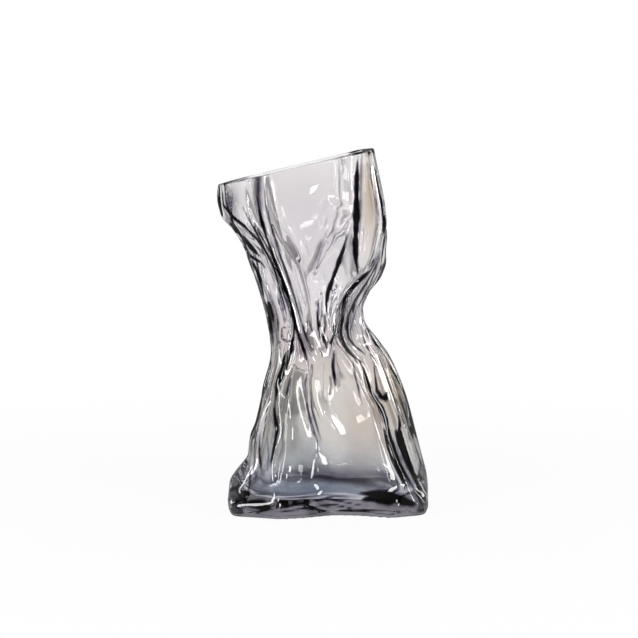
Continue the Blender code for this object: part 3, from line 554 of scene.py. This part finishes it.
def outerWall():
    # the folded outline from ground to lip, drawn in at the heel by a quarter round with rows at equal turns
    lip, heel = vase["lipHeight"], vase["heel"]
    turn = heel * (1 - np.cos(np.linspace(0, np.pi / 2, vase["heelRows"])[:-1])) / lip
    # the rounding of the lip takes the place of the last row but one
    levels = np.delete(np.linspace(heel / lip, 1, vase["outerRows"]), -2)
    rows = foldedOutline(np.concatenate([turn, levels]), 0)
    radius, angle, axis = polar(rows)
    return fromPolar(radius - roundedEdge(rows[:, :, 2], heel), angle, axis, rows[:, :, 2])


def innerWall():
    # the outline from lip to floor, softened and drawn in by the wall, with a quarter round at the floor
    lip = vase["lipHeight"]
    fillet = 1 - np.cos(np.linspace(np.pi / 2, 0, vase["filletRows"]))
    fillet = vase["floor"] + vase["floorRound"] * fillet
    levels = np.concatenate([np.linspace(1, fillet[0] / lip, vase["innerRows"])[:-1], fillet / lip])
    rows = foldedOutline(levels, vase["innerRipple"])
    radius, angle, axis = polar(rows)
    wall = smoothThrough(vase["wallHeights"], np.array(vase["wall"])[:, None], rows[:, :, 2].mean(axis=1))
    radius = np.minimum(softened(radius, angle) - wall, radius - vase["wallLeast"])
    radius = radius - roundedEdge(rows[:, :, 2] - vase["floor"], vase["floorRound"])
    return fromPolar(radius, angle, axis, rows[:, :, 2])


def roundedLip(outer, inner):
    # two quarter rounds, one on each side of the lip
    across = inner - outer
    ways = across / np.linalg.norm(across[:, :2], axis=1)[:, None]
    turns = np.array(vase["lipTurns"])[:, None, None] * np.pi / 2
    sink = vase["lipRound"] * (1 - np.sin(turns)) * np.array([0, 0, 1])
    inset = vase["lipRound"] * (1 - np.cos(turns))
    return np.concatenate([outer + ways * inset - sink, (inner - ways * inset - sink)[::-1]])


def drawnIn(row, shares, heights):
    # copies of a row, each nearer its middle and at its own height
    middle = row[:, :2].mean(axis=0)
    plan = middle + (row[None, :, :2] - middle) * shares[:, None, None]
    return np.concatenate([plan, np.broadcast_to(heights[:, None, None], plan.shape[:2] + (1,))], axis=2)


def gripMarks(rows):
    # short bars across the ring: a sharpened cosine along the ring, fading at its two edges
    row, reach = rows[-1], np.array(vase["markReach"])
    step = np.linalg.norm(np.diff(np.vstack([row, row[:1]])[:, :2], axis=0), axis=1)
    along = (np.cumsum(step) - step) / step.sum()
    bar = np.clip(np.cos(2 * np.pi * vase["marks"] * along), 0, 1) ** 1.5
    rows[:, :, 2] += vase["markHeight"] * (1 - bar[None, :] * reach[:, None])
    return rows


def floorHeight(share):
    # the floor swells by half the underside's rise, as one less the square of the share out from its middle
    return vase["floor"] + 0.5 * vase["rise"] * (1 - share ** 2)


def vaseRows():
    # from the middle of the underside out to the ring, up the outer wall, over the lip, down the inner wall
    # and in to the middle of the floor, with the painted shade at each point
    outer, inner = outerWall(), innerWall()
    outer[-1, :, 2] -= vase["lipRound"]
    inner[0, :, 2] -= vase["lipRound"]
    up = np.array([0, 0, vase["lipRound"]])
    lip = roundedLip(outer[-1] + up, inner[0] + up)
    foot = outer[0].copy()
    reach = np.linalg.norm(foot[:, :2] - foot[:, :2].mean(axis=0), axis=1).mean()
    ringInside = 1 - vase["ring"] / reach
    domeShares = ringInside * np.linspace(0, 1, vase["domeRows"])[1:]
    dome = drawnIn(foot, domeShares, vase["rise"] * (1 - (domeShares / ringInside) ** 2))
    ringShares = np.linspace(ringInside, 1, vase["ringRows"])[1:-1]
    ring = drawnIn(foot, ringShares, np.zeros(len(ringShares)))
    under = gripMarks(np.concatenate([dome[-1:], ring, outer[:1]]))
    outer[1:, :, 2] += vase["markHeight"] * np.clip(1 - outer[1:, :, 2] / vase["heel"], 0, 1)
    floorShares = np.linspace(1, 0, vase["floorRows"])[1:-1]
    floor = drawnIn(inner[-1], floorShares, floorHeight(floorShares))
    # painted shade: the slanting lip is darkened at its two ends, and so is the bend between wall and floor
    # all round:
    # a bell up the wall, a little uneven along it
    ends, bend, across = vase["lipShadeEnds"], vase["floorBendShade"], lip[:, :, 0]
    lipEndShade = np.clip((across - ends["right"]) / ends["fade"], 0, 1)
    lipEndShade = lipEndShade + ends["leftDark"] * np.clip((ends["left"] - across) / ends["fade"], 0, 1)
    aboveBend = inner[:, :, 2] - vase["floor"] - bend["above"]
    turn = bend["dark"] * np.exp(-(aboveBend / bend["halfHigh"]) ** 2)
    wave = np.sin(0.11 * inner[:, :, 0] + 0.07 * inner[:, :, 1])
    turn = turn * (1 - bend["uneven"] + bend["uneven"] * wave)
    below = np.concatenate([dome[:-1] + [0, 0, vase["markHeight"]], under])
    ink = np.concatenate([np.zeros(below.shape[:2]), paintedLineShadeOf(outer[1:]), lipEndShade, turn, np.zeros(floor.shape[:2])])
    return np.concatenate([below, outer[1:], lip, inner, floor]), ink


def meshFromRows(name, rows, startHeight, endHeight):
    # quads between neighbouring rows, and a fan to a point at each end
    count, around = rows.shape[:2]
    points = rows.reshape(-1, 3)
    start, end = points[:around].mean(axis=0), points[-around:].mean(axis=0)
    start[2], end[2] = startHeight, endHeight
    points = np.vstack([points, start, end])
    low, high = points.min(axis=0), points.max(axis=0)
    shift = np.array([(low[0] + high[0]) / 2, (low[1] + high[1]) / 2, low[2]])
    column = np.arange(around)
    after = (column + 1) % around
    base = np.arange(count - 1)[:, None] * around
    quads = np.stack([base + column, base + after, base + around + after, base + around + column], axis=2)
    quads = quads.reshape(-1, 4)
    firstFan = np.stack([np.full(around, len(points) - 2), after, column], axis=1)
    lastRow = (count - 1) * around
    lastFan = np.stack([np.full(around, len(points) - 1), lastRow + column, lastRow + after], axis=1)
    mesh = bpy.data.meshes.new(name)
    faces = [*quads.tolist(), *firstFan.tolist(), *lastFan.tolist()]
    mesh.from_pydata((points - shift) * millimetre, [], faces)
    mesh.shade_smooth()
    print(name, len(mesh.polygons), "faces,", around, "round")
    return mesh, shift


rows, ink = vaseRows()
mesh, shift = meshFromRows("vase_glass", rows, vase["rise"] + vase["markHeight"], floorHeight(0))
# the points at the two ends have no painted shade and no colour of their own
paintedShadeValues = np.append(ink.ravel(), [0.0, 0.0]).astype(np.float32)
mesh.attributes.new("ink", "FLOAT", "POINT").data.foreach_set("value", paintedShadeValues)
# the patches' colour at each point: tint of thicker glass, with painted shade and painted reflected colour
wash = np.dstack([tintAndPaintedLightOf(rows), np.ones(ink.shape)]).reshape(-1, 4)
wash = np.vstack([wash, np.ones((2, 4))]).astype(np.float32)
mesh.attributes.new("wash", "FLOAT_COLOR", "POINT").data.foreach_set("color", wash.ravel())
vaseGlass = bpy.data.objects.new("vase_glass", mesh)
bpy.context.scene.collection.objects.link(vaseGlass)

# smoke grey soda-lime glass, mould-blown and fire-polished: clear and glossy, IOR about 1.5; the smoke tint
# lies in the glass, so thick places are darker. The near black lines where creases bend the light away are
# painted shade in the base colour, and so are the darkening of turned walls and much of the patches. The
# shader takes the root of a colour at each face that the light goes through
glass = {
    "roughness": 0.015, "ior": 1.5,
    "tint": "#B6ABB2", "density": 17.0,
    # painted shade: the colours of the dark crease lines drawn on the wall, from clear to black
    "paintedShadeStops": [(0.0, "#FFFFFF"), (0.25, "#A8A4B2"), (0.5, "#3A3646"), (0.7, "#060509"), (0.85, "#000000")],
    # painted shade: walls that turn away are darkened towards black, where glass bends the light away
    "turnedWallShadeStops": [(0.88, "#FFFFFF"), (0.95, "#B0ACB4"), (0.995, "#1A1A20")],  # by how far the wall turns away
    "heightStops": [(0.0, "#D6DAE2"), (0.08, "#DCE1E8"), (0.16, "#F3F2F0"), (0.4, "#F4F0ED"),
                    (0.6, "#F6F4F5"), (1.0, "#FAF9F9")],
    "rippleLength": 7.0, "rippleDepth": 0.02,  # mm: chill ripples from the mould
}


def smokeGlass():
    material = bpy.data.materials.new("smokeGreySodaLimeGlass")
    material.use_nodes = True
    tree = material.node_tree
    shader, output = tree.nodes["Principled BSDF"], tree.nodes["Material Output"]
    shader.inputs["Roughness"].default_value = glass["roughness"]
    shader.inputs["IOR"].default_value = glass["ior"]
    shader.inputs["Transmission Weight"].default_value = 1.0
    place = addNode(tree, "ShaderNodeTexCoord")
    parts = addNode(tree, "ShaderNodeSeparateXYZ", {}, {"Vector": place.outputs["Object"]})
    height = addNode(tree, "ShaderNodeMapRange", {"From Max": vase["lipHeight"] * millimetre},
                     {"Value": parts.outputs["Z"]})
    paintedShadeNode = addNode(tree, "ShaderNodeAttribute", {"attribute_name": "ink"})
    tintAndPaintedLightNode = addNode(tree, "ShaderNodeAttribute", {"attribute_name": "wash"})
    turned = addNode(tree, "ShaderNodeLayerWeight", {"Blend": 0.5})
    # the patches of tint and painted light, the tint by height, the painted shade lines and the painted shade
    # of turned walls, multiplied together
    colour = tintAndPaintedLightNode.outputs["Color"]
    for stops, socket in (("heightStops", height.outputs["Result"]), ("paintedShadeStops", paintedShadeNode.outputs["Fac"]),
                          ("turnedWallShadeStops", turned.outputs["Facing"])):
        other = addNode(tree, "ShaderNodeValToRGB", {"stops": glass[stops]}, {"Fac": socket})
        # the mix node's colour inputs are 6 and 7 and its colour output is 2
        both = addNode(tree, "ShaderNodeMix", {"data_type": "RGBA", "blend_type": "MULTIPLY", "Factor": 1.0},
                       {6: colour, 7: other.outputs["Color"]})
        colour = both.outputs[2]
    tree.links.new(colour, shader.inputs["Base Color"])
    wavesPerMetre = 1 / (glass["rippleLength"] * millimetre)
    noise = addNode(tree, "ShaderNodeTexNoise", {"Scale": wavesPerMetre, "Detail": 1.0},
                    {"Vector": place.outputs["Object"]})
    bump = addNode(tree, "ShaderNodeBump", {"Strength": 1.0, "Distance": glass["rippleDepth"] * millimetre},
                   {"Height": noise.outputs["Fac"]})
    tree.links.new(bump.outputs["Normal"], shader.inputs["Normal"])
    absorb = addNode(tree, "ShaderNodeVolumeAbsorption",
                     {"Color": linearColour(glass["tint"]), "Density": glass["density"]})
    tree.links.new(absorb.outputs["Volume"], output.inputs["Volume"])
    return material


mesh.materials.append(smokeGlass())
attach(vaseGlass, "root")
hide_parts("vase")
print("vase made")

# studio: a white room with a dark ceiling and soft dark panels, as glass is photographed
studio = {
    "floor": "#F2F2F2", "floorRoughness": 0.9, "floorSize": 6.0, "floorWhite": 0.94, "floorFade": (0.15, 0.5),
    "panels": 8, "panelDark": 0.4, "panelFrom": -0.9, "panelTo": 0.1,
    "ceilingFrom": 0.3, "ceilingTo": 0.7, "ceilingDark": 0.35, "mirrored": 0.22,
    "aim": (0, 0, 0.1),  # where the softboxes point
    # place, size in metres, and watts
    "softboxes": {
        "softboxLeft": ((-0.7, -0.75, 0.35), (0.24, 0.5), 6.0),
        "softboxRight": ((0.75, -0.65, 0.4), (0.22, 0.5), 5.0),
        "softboxFront": ((0.22, -1.0, 0.3), (0.16, 0.12), 1.0),
        "softboxHigh": ((0.02, -1.0, 0.5), (0.14, 0.1), 0.7),
        "softboxBackLeft": ((-0.75, 0.7, 0.35), (0.1, 0.5), 0.8),
        "softboxBackRight": ((0.7, 0.75, 0.4), (0.1, 0.5), 0.7),
    },
}


def panelBands(tree, parts):
    # cosine of eight times the bearing: 1 behind the vase in each straight view, -1 between
    bearing = addNode(tree, "ShaderNodeMath", {"operation": "ARCTAN2"},
                      {0: parts.outputs["Y"], 1: parts.outputs["X"]})
    turns = addNode(tree, "ShaderNodeMath", {"operation": "MULTIPLY", 1: studio["panels"]},
                    {0: bearing.outputs[0]})
    wave = addNode(tree, "ShaderNodeMath", {"operation": "COSINE"}, {0: turns.outputs[0]})
    band = addNode(tree, "ShaderNodeMapRange", {
        "interpolation_type": "SMOOTHSTEP", "From Min": studio["panelFrom"], "From Max": studio["panelTo"],
        "To Min": studio["panelDark"], "To Max": 1.0}, {"Value": wave.outputs[0]})
    return band.outputs["Result"]


def mirroredLevel(tree, path):
    # a ray bent through glass counts as glossy too, so a mirrored one is glossy less transmitted
    reflected = addNode(tree, "ShaderNodeMath", {"operation": "SUBTRACT"},
                        {0: path.outputs["Is Glossy Ray"], 1: path.outputs["Is Transmission Ray"]})
    level = addNode(tree, "ShaderNodeMapRange", {"To Min": 1.0, "To Max": studio["mirrored"]},
                    {"Value": reflected.outputs[0]})
    return level.outputs["Result"]


def studioWorld():
    # plain white to the camera; to all other rays the panels times the ceiling, dimmer in a mirrored ray
    world = bpy.data.worlds.new("studio")
    bpy.context.scene.world = world
    world.use_nodes = True
    tree = world.node_tree
    tree.nodes.clear()
    direction = addNode(tree, "ShaderNodeTexCoord")
    parts = addNode(tree, "ShaderNodeSeparateXYZ", {}, {"Vector": direction.outputs["Generated"]})
    ceiling = addNode(tree, "ShaderNodeMapRange", {
        "interpolation_type": "SMOOTHSTEP", "From Min": studio["ceilingFrom"],
        "From Max": studio["ceilingTo"], "To Min": 1.0, "To Max": studio["ceilingDark"]},
        {"Value": parts.outputs["Z"]})
    level = addNode(tree, "ShaderNodeMath", {"operation": "MULTIPLY"},
                    {0: panelBands(tree, parts), 1: ceiling.outputs["Result"]})
    white = addNode(tree, "ShaderNodeBackground", {"Color": (1, 1, 1, 1), "Strength": 1.0})
    path = addNode(tree, "ShaderNodeLightPath")
    light = addNode(tree, "ShaderNodeBackground", {},
                    {"Color": level.outputs[0], "Strength": mirroredLevel(tree, path)})
    mix = addNode(tree, "ShaderNodeMixShader", {}, {"Fac": path.outputs["Is Camera Ray"]})
    tree.links.new(light.outputs[0], mix.inputs[1])
    tree.links.new(white.outputs[0], mix.inputs[2])
    output = addNode(tree, "ShaderNodeOutputWorld")
    tree.links.new(mix.outputs[0], output.inputs["Surface"])


def studioFloor():
    # shaded and shadowed by the vase close to it, white further off
    half = studio["floorSize"] / 2
    floorMesh = bpy.data.meshes.new("floor")
    corners = [(-half, -half, 0), (half, -half, 0), (half, half, 0), (-half, half, 0)]
    floorMesh.from_pydata(corners, [], [(0, 1, 2, 3)])
    floor = bpy.data.objects.new("floor", floorMesh)
    bpy.context.scene.collection.objects.link(floor)
    material = bpy.data.materials.new("paleFloor")
    material.use_nodes = True
    tree = material.node_tree
    shader = tree.nodes["Principled BSDF"]
    shader.inputs["Base Color"].default_value = linearColour(studio["floor"])
    shader.inputs["Roughness"].default_value = studio["floorRoughness"]
    path = addNode(tree, "ShaderNodeLightPath")
    place = addNode(tree, "ShaderNodeTexCoord")
    # the panels stand on the floor some way off, so rays bent by the glass meet them there too
    parts = addNode(tree, "ShaderNodeSeparateXYZ", {}, {"Vector": place.outputs["Object"]})
    reach = addNode(tree, "ShaderNodeVectorMath", {"operation": "LENGTH"},
                    {"Vector": place.outputs["Object"]})
    near = addNode(tree, "ShaderNodeMapRange", {
        "From Min": studio["floorFade"][0], "From Max": studio["floorFade"][1], "To Min": 1.0, "To Max": 0.0},
        {"Value": reach.outputs["Value"]})
    level = addNode(tree, "ShaderNodeMath", {"operation": "MAXIMUM"},
                    {0: panelBands(tree, parts), 1: near.outputs["Result"]})
    level = addNode(tree, "ShaderNodeMath", {"operation": "MAXIMUM"},
                    {0: level.outputs[0], 1: path.outputs["Is Camera Ray"]})
    level = addNode(tree, "ShaderNodeMath", {"operation": "MULTIPLY"},
                    {0: level.outputs[0], 1: mirroredLevel(tree, path)})
    white = addNode(tree, "ShaderNodeEmission", {"Color": (1, 1, 1, 1)}, {"Strength": level.outputs[0]})
    fade = addNode(tree, "ShaderNodeMapRange", {
        "From Min": studio["floorFade"][0], "From Max": studio["floorFade"][1],
        "To Min": studio["floorWhite"], "To Max": 1.0}, {"Value": reach.outputs["Value"]})
    # camera, mirror and glass rays see the white floor, which keeps part of its shading near the vase
    seen = addNode(tree, "ShaderNodeMath", {"operation": "MAXIMUM"},
                   {0: path.outputs["Is Camera Ray"], 1: path.outputs["Is Glossy Ray"]})
    seen = addNode(tree, "ShaderNodeMath", {"operation": "MAXIMUM"},
                   {0: seen.outputs[0], 1: path.outputs["Is Transmission Ray"]})
    share = addNode(tree, "ShaderNodeMath", {"operation": "MULTIPLY"},
                    {0: seen.outputs[0], 1: fade.outputs["Result"]})
    mix = addNode(tree, "ShaderNodeMixShader", {}, {"Fac": share.outputs[0]})
    tree.links.new(shader.outputs[0], mix.inputs[1])
    tree.links.new(white.outputs[0], mix.inputs[2])
    tree.links.new(mix.outputs[0], tree.nodes["Material Output"].inputs["Surface"])
    floorMesh.materials.append(material)


def softbox(name, place, size, power):
    # a lamp looks down its own -Z: tilted by the angle from straight down, then turned to the aim
    lamp = bpy.data.lights.new(name, "AREA")
    lamp.shape, lamp.size, lamp.size_y, lamp.energy = "RECTANGLE", size[0], size[1], power
    box = bpy.data.objects.new(name, lamp)
    bpy.context.scene.collection.objects.link(box)
    box.location = place
    away = np.array(place) - np.array(studio["aim"])
    tilt = math.atan2(math.hypot(away[0], away[1]), away[2])
    box.rotation_euler = (tilt, 0, math.atan2(away[1], away[0]) + math.pi / 2)


studioWorld()
studioFloor()
for name, (place, size, power) in studio["softboxes"].items():
    softbox(name, place, size, power)
print("studio lit")

camera = bpy.data.cameras.new("camera")
camera.lens, camera.sensor_width = cameraPlace["lens"], cameraPlace["sensor"]
cameraObject = bpy.data.objects.new("camera", camera)
bpy.context.scene.collection.objects.link(cameraObject)
cameraObject.location = [
    (cameraPlace["right"] - shift[0]) * millimetre,
    (-cameraPlace["distance"] - shift[1]) * millimetre,
    cameraPlace["height"] * millimetre]
cameraObject.rotation_euler = (math.radians(90 - cameraPlace["tiltDown"]), 0, 0)
bpy.context.scene.camera = cameraObject
bpy.context.scene.view_settings.view_transform = "Standard"
print("camera placed")
